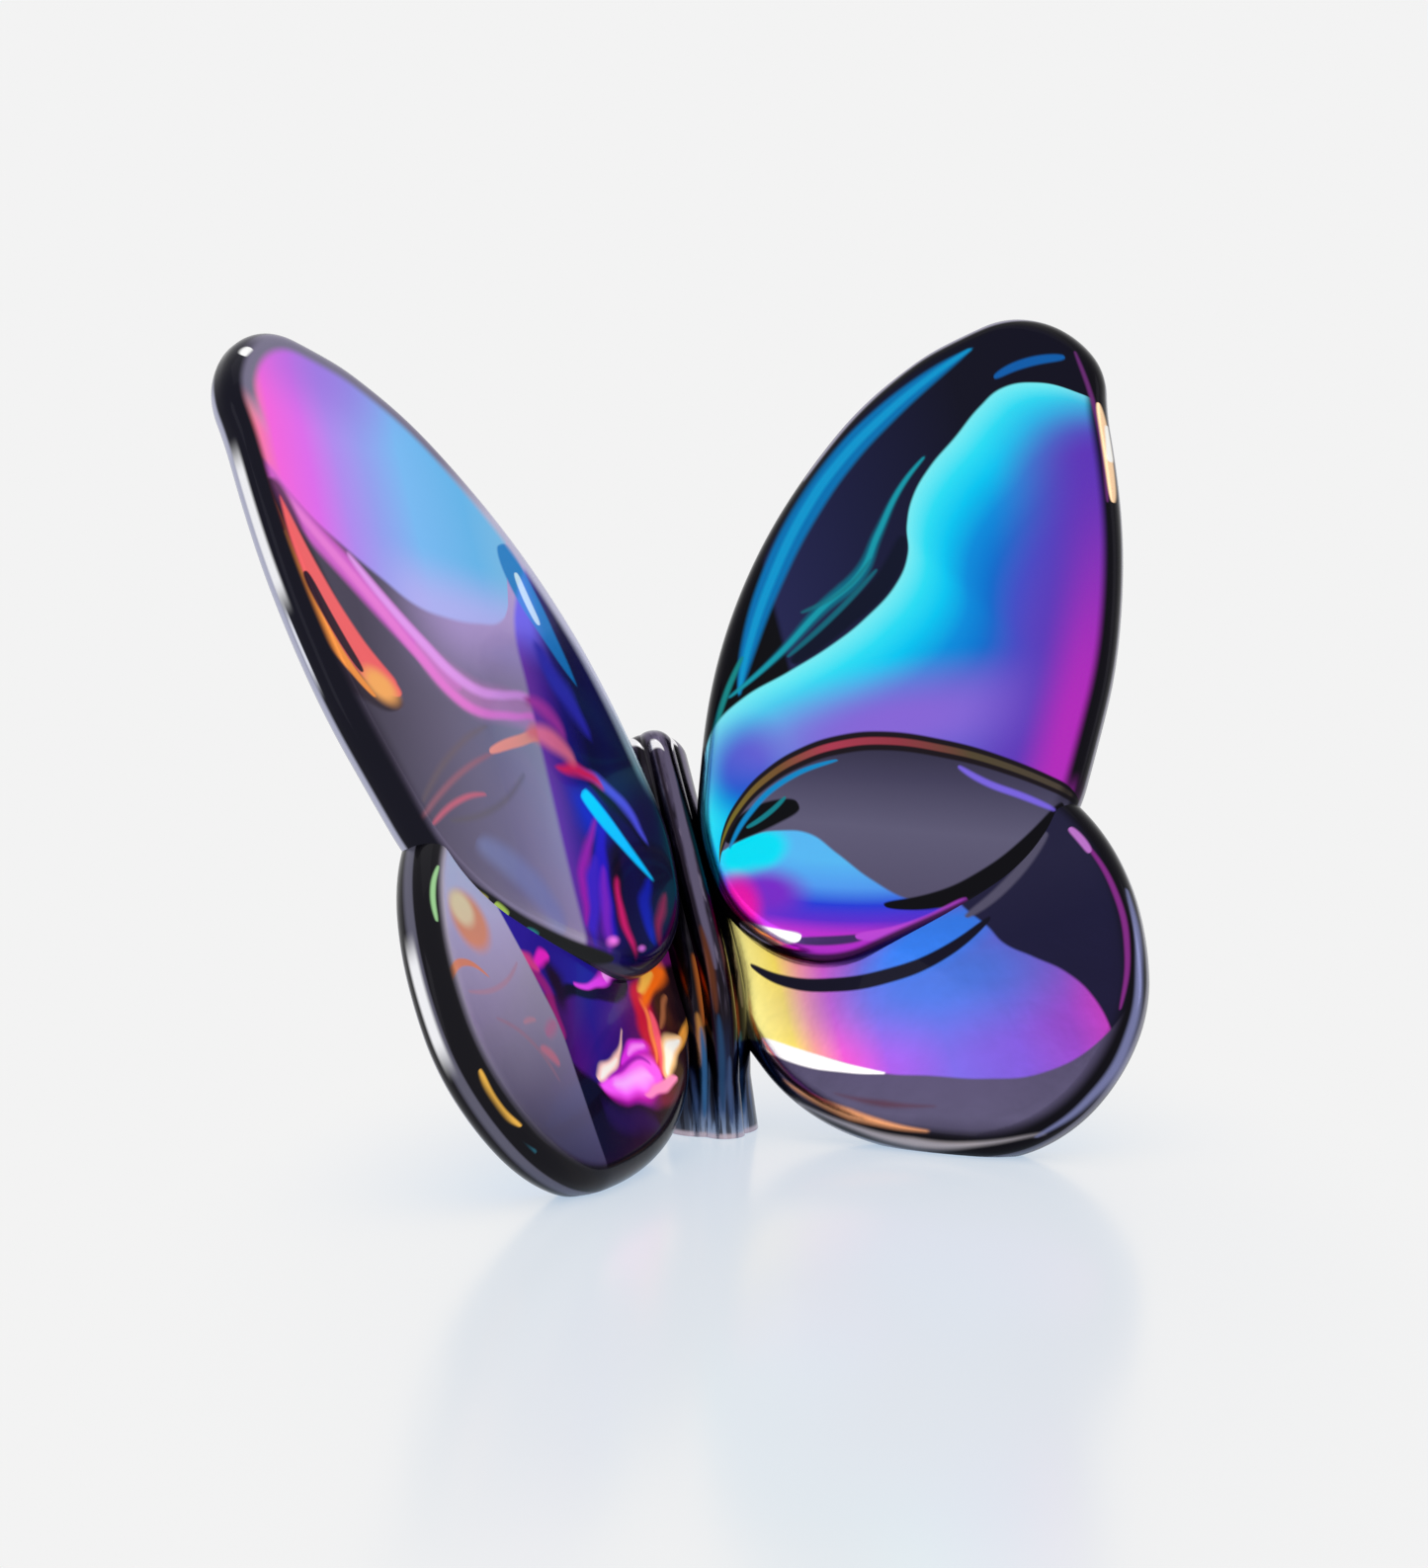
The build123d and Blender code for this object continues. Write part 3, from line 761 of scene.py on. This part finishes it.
def left_hindwing_paint():
    paint = Paint("left_hindwing_crystal")
    colour = paint.ramp(paint.up, [
        (-9, (74, 68, 90)), (-5, (112, 104, 132)), (0, (152, 142, 170)), (5, (184, 174, 198)), (9, (204, 194, 216)),
    ])
    colour = paint.mark(colour, [(23.6, 5.6), (26.2, 3.2), (30, 2)], 0.35, (196, 150, 164), 0.3, amount=0.7)
    colour = paint.mark(colour, [(21.4, -3), (24, -0.4), (27.4, 0.6)], 0.35, (176, 130, 150), 0.3, amount=0.6)
    colour = paint.mark(colour, [(21, -1.7), (22, -1.0), (23, -0.7)], 0.8, (226, 132, 152), 0.6, 0.4, amount=0.8)
    colour = paint.mark(colour, [(20.5, 1.8), (21.3, 1.0), (22, 0.3)], 0.9, (208, 120, 160), 0.8, 0.4, amount=0.7)
    colour = paint.mark(colour, [(22.8, 1.4), (23.6, 1.2), (24.4, 0.8)], 0.4, (222, 150, 164), 0.4, 0.4, amount=0.6)
    # Orange and cream painted highlight spot
    colour = paint.patch(colour, (28.1, 7.8), (1.9, 2.2), -20, (244, 160, 116), 0.3)
    colour = paint.patch(colour, (28.7, 8.6), (1.2, 1.3), -20, (255, 228, 172), 0.4)
    colour = paint.mark(colour, [(27.2, 3.7), (29.6, 4.3), (31.3, 3.2), (32.1, 0.6)], 0.55, (240, 150, 110))
    # Violet facets beside the body, with magenta, red and gold reflections
    violet = paint.ramp(paint.out, [
        (4, (26, 12, 20)), (6, (54, 22, 26)), (8.6, (108, 16, 54)), (10.4, (88, 18, 100)), (13, (52, 18, 112)),
        (16, (34, 20, 120)), (18.6, (66, 12, 106)), (20.6, (50, 6, 72)),
    ])
    steady = paint.place
    paint.ripple(0.7, 0.4)
    slash = [(10, 7), (12.4, 5.9), (15, 5.1), (19.4, 4.2)]
    wedge = paint.ramp(paint.out, [(9, (104, 20, 96)), (12, (70, 16, 120)), (15, (30, 20, 140)), (19, (34, 18, 132))])
    violet = paint.over(violet, paint.step(paint.offset(slash), -0.3, 0.3), wedge)
    violet = paint.mark(violet, slash, 1.4, (10, 2, 26), 0.5, shape=[(0, 0.2), (0.3, 1), (0.7, 0.8), (1, 0.3)])
    violet = paint.mark(violet, [(10.4, 7.5), (12.4, 7), (14.6, 6.1), (17.4, 5.2)], 0.6, (226, 62, 218), 0.45)
    violet = paint.mark(violet, [(10.8, 7.5), (12.1, 7.1), (13.4, 6.7)], 0.5, (255, 160, 252), 0.35)
    violet = paint.patch(violet, (19.5, 5), (1.0, 1.7), -20, (24, 2, 34), 0.6)
    violet = paint.mark(violet, [(19.9, 0.4), (20.7, 3.4), (22.6, 6.6)], 0.9, (150, 26, 108), 0.7, amount=0.8)
    violet = paint.mark(violet, [(19.4, 7), (20.7, 6.6), (21.8, 5.8)], 1.0, (222, 30, 184), 0.6, 0.45)
    violet = paint.mark(violet, [(21.2, 5.6), (22.2, 6.2), (23.2, 6.6)], 0.7, (196, 56, 124), 0.5, 0.45)
    lower = paint.offset([(5, 0.2), (9, -2.2), (13, -3.2), (16.6, -2.5), (20, -0.8)])
    violet = paint.over(violet, paint.step(lower, 0.3, -0.4), (8, 2, 16))
    violet = paint.mark(violet, [(10, -3.8), (13, -4.5), (17, -4.1)], 1.4, (28, 8, 66), 1.2, amount=0.8)
    # Magenta lens of light, bright at its core
    lens_line = [(8.4, 0.9), (10.6, -0.4), (13, -1.6), (16.8, -2.5)]
    lens_shape = [(0, 0.3), (0.35, 1), (0.7, 0.8), (1, 0.05)]
    violet = paint.mark(violet, lens_line, 3.5, (190, 16, 168), 0.9, shape=lens_shape)
    violet = paint.mark(violet, lens_line, 2.3, (255, 92, 248), 0.9, shape=lens_shape)
    violet = paint.mark(violet, [(9.6, -0.2), (12.2, -1.3), (15, -2.1)], 1.1, (255, 176, 255), 1.0, 0.45)
    violet = paint.mark(violet, [(8.8, 2.4), (10.8, 1.6), (13.4, 0)], 1.2, (226, 48, 228), 0.5, 0.45)
    violet = paint.mark(violet, [(9.6, 2.1), (11, 1.5), (12.4, 0.7)], 0.5, (255, 140, 255), 0.45, 0.45)
    violet = paint.mark(violet, [(9.4, 0.9), (11.4, 0.5), (13.4, -0.4), (15.6, -1.6)], 0.4, (140, 8, 164), 0.4, amount=0.8)
    # Cream and white painted highlight streak across the lens
    streak = [(12.2, 2.7), (13.6, 0.6), (15.2, -0.8), (17, -2.1)]
    violet = paint.mark(violet, streak, 0.85, (255, 206, 190), 0.4, shape=[(0, 0.1), (0.3, 0.35), (0.6, 1), (1, 0)])
    violet = paint.mark(violet, [(13.8, 0.4), (15.2, -0.8), (16.6, -1.9)], 0.45, (255, 248, 230), 0.3, 0.45)
    # Painted reflections: red and orange flame over brown glass, with gold lines and white painted highlights where it
    # meets the rim
    violet = paint.mark(violet, [(8.9, 7.6), (8.8, 4.6), (8.2, 0.8)], 2.4, (204, 26, 58), 1.1, 0.45)
    violet = paint.mark(violet, [(8, 5.2), (7.6, 3), (8, 0.2)], 1.4, (255, 90, 116), 0.7, 0.45)
    violet = paint.mark(violet, [(8.8, 6), (8.4, 3.6), (8.7, 1.2)], 0.6, (255, 128, 74), 0.45, 0.45)
    violet = paint.mark(violet, [(5, 9.9), (6.8, 8.2), (8.8, 5.2)], 2.4, (255, 112, 20), 0.9,
                        shape=[(0, 0.5), (0.35, 1), (0.7, 0.6), (1, 0.1)])
    violet = paint.mark(violet, [(5.9, 9.2), (7.4, 8.1), (8.9, 6.6)], 1.0, (255, 190, 78), 0.7, 0.45)
    violet = paint.patch(violet, (6.1, 5.8), (0.9, 1.3), 20, (64, 34, 26), 0.6)
    violet = paint.mark(violet, [(5.2, 7.2), (6, 5.6), (6.8, 3.8)], 0.35, (158, 96, 62), 0.35)
    violet = paint.mark(violet, [(2.6, 6.3), (4.2, 4.2), (6.4, 2.2)], 1.0, (226, 152, 60), 0.5, 0.45)
    violet = paint.mark(violet, [(4.6, 4.1), (6.4, 2.5), (7.8, 0)], 1.5, (255, 206, 150), 0.6, 0.45)
    violet = paint.mark(violet, [(5, 3.7), (6.5, 2.4), (7.5, 0.5)], 0.8, (255, 252, 244), 0.4, 0.45)
    violet = paint.mark(violet, [(6, 0.9), (8.2, -0.4), (11, -2)], 0.8, (255, 142, 198), 0.4, 0.45)
    paint.place = steady
    facets = paint.step(paint.offset([(23.3, 7.4), (21.6, 4.2), (20.2, 1.4), (19.2, -2.4), (17.6, -9)]), 0.15, -0.15)
    colour = paint.over(colour, facets, violet)
    # Painted glow: the violet facets' colour, given off as light through the finish
    painted_glow = paint.both(facets, paint.step(paint.inset(), 1.0, 1.9), paint.step(paint.depth, -1.0, 0.0))
    painted_glow = paint.over((0, 0, 0), painted_glow, violet)
    colour = rim_colours(paint, colour, (1.0, 1.9), 5)
    colour = back_colours(paint, colour, "hindwing")
    # Painted highlight lines round the side of the rim and painted glints on its front
    colour = paint.over(colour, paint.edge_line(-1.9, 0.6, -4, 7), (248, 248, 252))
    colour = paint.over(colour, paint.edge_line(-3.1, 0.15, -9, 10), (150, 152, 178))
    colour = paint.glint(colour, [(26.6, -7.2), (28.4, -6), (30, -3.6)], 0.35, (250, 190, 80), 0.2, -0.6)
    colour = paint.glint(colour, [(25, -8.8), (25.9, -8.5), (26.8, -8)], 0.45, (80, 200, 236), 0.2, -0.6)
    colour = paint.glint(colour, [(30.2, 11.6), (31.2, 9.6), (31.6, 7)], 0.28, (160, 212, 150), 0.2, -0.6)
    return paint.finish(colour, metallic=0.4, painted_glow=painted_glow)


def body_paint():
    """Dark violet ribs with painted highlights along their crests and painted shade in the grooves and at the sides,
    brown painted glints in the middle, a bluish foot and white painted highlights on the head.
    """
    paint = Paint("body_crystal_finish")
    paint.lay((0, 2, 1))
    across = paint.math("ABSOLUTE", paint.out)
    colour = paint.ramp(paint.up, [
        (0, (176, 184, 206)), (0.8, (122, 140, 172)), (2, (64, 86, 126)), (4.5, (30, 42, 78)), (9, (22, 15, 24)),
        (14, (36, 28, 46)), (22, (62, 54, 78)), (27, (90, 82, 106)),
    ])
    # Dark and pale streaks along the bar, from stretched noise
    streak_noise = paint.nodes.new("ShaderNodeTexNoise")
    streak_noise.inputs["Scale"].default_value = 1.0
    streak_noise.inputs["Detail"].default_value = 3.0
    paint.links.new(paint.vector("MULTIPLY", paint.place, (2.6, 0.16, 0.6)), streak_noise.inputs["Vector"])
    colour = paint.over(colour, paint.step(streak_noise.outputs["Fac"], 0.5, 0.64), (14, 9, 16), 0.8)
    colour = paint.over(colour, paint.both(paint.step(streak_noise.outputs["Fac"], 0.46, 0.34), paint.step(paint.up, 8, 14)),
                        (122, 112, 136), 0.7)
    # Painted shade in the grooves between the ribs and down the outer sides
    groove_shade = paint.both(paint.step(across, 0.8, 1.15), paint.step(across, 1.9, 1.5), paint.step(paint.up, 1, 4))
    colour = paint.over(colour, groove_shade, (8, 5, 10), 0.9)
    colour = paint.over(colour, paint.step(across, 2.2, 2.6), (14, 10, 20), 0.8)
    # Painted highlights along the rib crests, with thin dark lines of painted shade beside them
    for foot, head, low, tint, width in (
        (-0.25, 0.1, 12, (96, 88, 114), 0.6),
        (0.5, 0.55, 3, (20, 14, 26), 0.35),
        (-0.75, -0.6, 3, (26, 18, 32), 0.3),
        (1.95, 1.9, 9, (104, 96, 120), 0.45),
        (-1.95, -1.9, 12, (88, 80, 104), 0.4),
    ):
        route = [(foot, low), (foot, low + 5), ((foot + head) / 2, 20), (head, 27)]
        colour = paint.mark(colour, route, width, tint, 0.3, 0.2)
    # Brown painted glints in the middle of the bar and bluish streaks low down
    for spot, low, high, tint in (
        (-1.35, 8, 13, (150, 78, 26)), (1.3, 7, 11.5, (126, 60, 30)), (-1.7, 5, 9, (176, 120, 60)),
        (-0.6, 9, 15, (92, 46, 26)), (0.75, 10, 16, (84, 40, 34)), (-2.2, 10, 19, (96, 60, 40)),
        (-1.55, 1.4, 8, (44, 92, 140)), (1.5, 1.4, 7.5, (40, 84, 132)), (0.1, 1.0, 6, (58, 78, 118)),
        (-0.5, 2, 9, (34, 66, 104)), (0.8, 2, 8, (26, 50, 88)),
    ):
        colour = paint.mark(colour, [(spot, low), (spot * 0.94, (low + high) / 2), (spot, high)], 0.45, tint, 0.35, 0.45)
    colour = paint.over(colour, paint.step(paint.up, 0.5, 0.2), (196, 180, 192), 0.8)
    # White painted highlights on the head
    for spot in (-1.7, -0.5, 1.2):
        colour = paint.mark(colour, [(spot - 0.5, 26.6), (spot, 27.1), (spot + 0.5, 26.7)], 0.5, (250, 248, 252), 0.2)
    return paint.finish(colour)


pieces = {"body": body()}
for side, hand in ((1, "right_"), (-1, "left_")):
    fore = wing("forewing", side)
    carve(fore, [pieces["body"]])
    hind = wing("hindwing", side)
    stand_flat(hind)
    carve(hind, [fore, pieces["body"]])
    for kind, piece in (("forewing", fore), ("hindwing", hind)):
        pieces[hand + kind] = piece
        keep_places(piece, *wing_place(kind, side), wing_outline(kind)[0])
keep_places(pieces["body"], np.eye(3), np.zeros(3), ribbed_section())
finishes = {
    "right_forewing": right_forewing_paint(),
    "left_forewing": left_forewing_paint(),
    "right_hindwing": right_hindwing_paint(),
    "left_hindwing": left_hindwing_paint(),
    "body": body_paint(),
}
for node, piece in pieces.items():
    piece.data.materials.append(finishes[node])
    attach(piece, "root")
    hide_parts(node)
    node.split("_")[-1] + "_crystal"

# Pale floor that fades into the background
floor_mesh = bpy.data.meshes.new("floor")
floor_mesh.from_pydata([(-2, -2, 0), (2, -2, 0), (2, 2, 0), (-2, 2, 0)], [], [(0, 1, 2, 3)])
floor = bpy.data.objects.new("floor", floor_mesh)
floor.location.z = -0.00005
bpy.context.scene.collection.objects.link(floor)
floor_material = bpy.data.materials.new("pale_floor")
floor_material.use_nodes = True
floor_nodes = floor_material.node_tree.nodes
floor_links = floor_material.node_tree.links
floor_nodes.remove(floor_nodes["Principled BSDF"])
pale = floor_nodes.new("ShaderNodeBsdfDiffuse")
pale.inputs["Color"].default_value = (0.40, 0.31, 0.20, 1.0)
tint = floor_nodes.new("ShaderNodeEmission")
tint.inputs["Color"].default_value = (0.496, 0.632, 0.797, 1.0)
sheen = floor_nodes.new("ShaderNodeBsdfGlossy")
sheen.inputs["Color"].default_value = (1.0, 0.75, 0.45, 1.0)
sheen.inputs["Roughness"].default_value = 0.18
matt = floor_nodes.new("ShaderNodeAddShader")
floor_links.new(pale.outputs[0], matt.inputs[0])
floor_links.new(tint.outputs[0], matt.inputs[1])
polished = floor_nodes.new("ShaderNodeMixShader")
polished.inputs[0].default_value = 0.17
floor_links.new(matt.outputs[0], polished.inputs[1])
floor_links.new(sheen.outputs[0], polished.inputs[2])
glow = floor_nodes.new("ShaderNodeEmission")
glow.inputs["Color"].default_value = linear((243, 243, 243))
oval = floor_nodes.new("ShaderNodeMapping")
oval.vector_type = "TEXTURE"
oval.inputs["Location"].default_value = (-0.010, -0.045, 0)
oval.inputs["Rotation"].default_value = (0, 0, math.radians(-21.4))
oval.inputs["Scale"].default_value = (0.042, 0.085, 1)
floor_links.new(floor_nodes.new("ShaderNodeTexCoord").outputs["Object"], oval.inputs["Vector"])
spot = floor_nodes.new("ShaderNodeVectorMath")
spot.operation = "LENGTH"
floor_links.new(oval.outputs["Vector"], spot.inputs[0])
fade = floor_nodes.new("ShaderNodeMapRange")
fade.interpolation_type = "SMOOTHSTEP"
fade.inputs["From Min"].default_value = 0.5
fade.inputs["From Max"].default_value = 1.1
floor_links.new(spot.outputs["Value"], fade.inputs["Value"])
blend = floor_nodes.new("ShaderNodeMixShader")
floor_links.new(fade.outputs["Result"], blend.inputs[0])
floor_links.new(polished.outputs[0], blend.inputs[1])
floor_links.new(glow.outputs[0], blend.inputs[2])
floor_links.new(blend.outputs[0], floor_nodes["Material Output"].inputs["Surface"])
floor_mesh.materials.append(floor_material)

# Soft studio light
world = bpy.data.worlds.new("studio")
bpy.context.scene.world = world
world.use_nodes = True
world_nodes = world.node_tree.nodes
world_links = world.node_tree.links
background = world_nodes["Background"]
background.inputs["Color"].default_value = linear((243, 243, 243))
background.inputs["Strength"].default_value = 1.0
plain = world_nodes.new("ShaderNodeBackground")
plain.inputs["Color"].default_value = linear((243, 243, 243))
path = world_nodes.new("ShaderNodeLightPath")
seen = world_nodes.new("ShaderNodeMath")
seen.operation = "MAXIMUM"
world_links.new(path.outputs["Is Camera Ray"], seen.inputs[0])
either = world_nodes.new("ShaderNodeMath")
either.operation = "MAXIMUM"
world_links.new(path.outputs["Is Glossy Ray"], either.inputs[0])
world_links.new(path.outputs["Is Transmission Ray"], either.inputs[1])
world_links.new(either.outputs[0], seen.inputs[1])
mixed = world_nodes.new("ShaderNodeMixShader")
world_links.new(seen.outputs[0], mixed.inputs[0])
world_links.new(background.outputs[0], mixed.inputs[1])
world_links.new(plain.outputs[0], mixed.inputs[2])
world_links.new(mixed.outputs[0], world_nodes["World Output"].inputs["Surface"])


def soft_light(name, place, size, power):
    """A soft box turned to the middle of the ornament."""
    lamp = bpy.data.lights.new(name, "AREA")
    lamp.shape = "RECTANGLE"
    lamp.size, lamp.size_y = size
    lamp.energy = power
    holder = bpy.data.objects.new(name, lamp)
    holder.location = place
    holder.rotation_euler = (Vector((0, 0, 0.028)) - Vector(place)).to_track_quat("-Z", "Y").to_euler()
    bpy.context.scene.collection.objects.link(holder)


soft_light("left_box", (-0.45, -0.25, 0.22), (0.12, 0.4), 0.12)
soft_light("right_box", (0.45, -0.2, 0.25), (0.12, 0.4), 0.1)
soft_light("top_box", (0.0, 0.05, 0.55), (0.3, 0.3), 0.1)

# Camera at the photograph's angle
turn = math.radians(-21.381)
rise = math.radians(8.396)
aim = Vector((-0.602, 1.55 - middle_y, 25.735)) * MM
away = Vector((math.sin(turn) * math.cos(rise), -math.cos(turn) * math.cos(rise), math.sin(rise)))
lens = bpy.data.cameras.new("camera")
lens.sensor_width = 36.0
lens.lens = 105.83
lens.clip_start = 0.01
camera = bpy.data.objects.new("camera", lens)
camera.location = aim + away * 331.618 * MM
camera.rotation_euler = away.to_track_quat("Z", "Y").to_euler()
bpy.context.scene.collection.objects.link(camera)
bpy.context.scene.camera = camera
bpy.context.scene.view_settings.view_transform = "Standard"
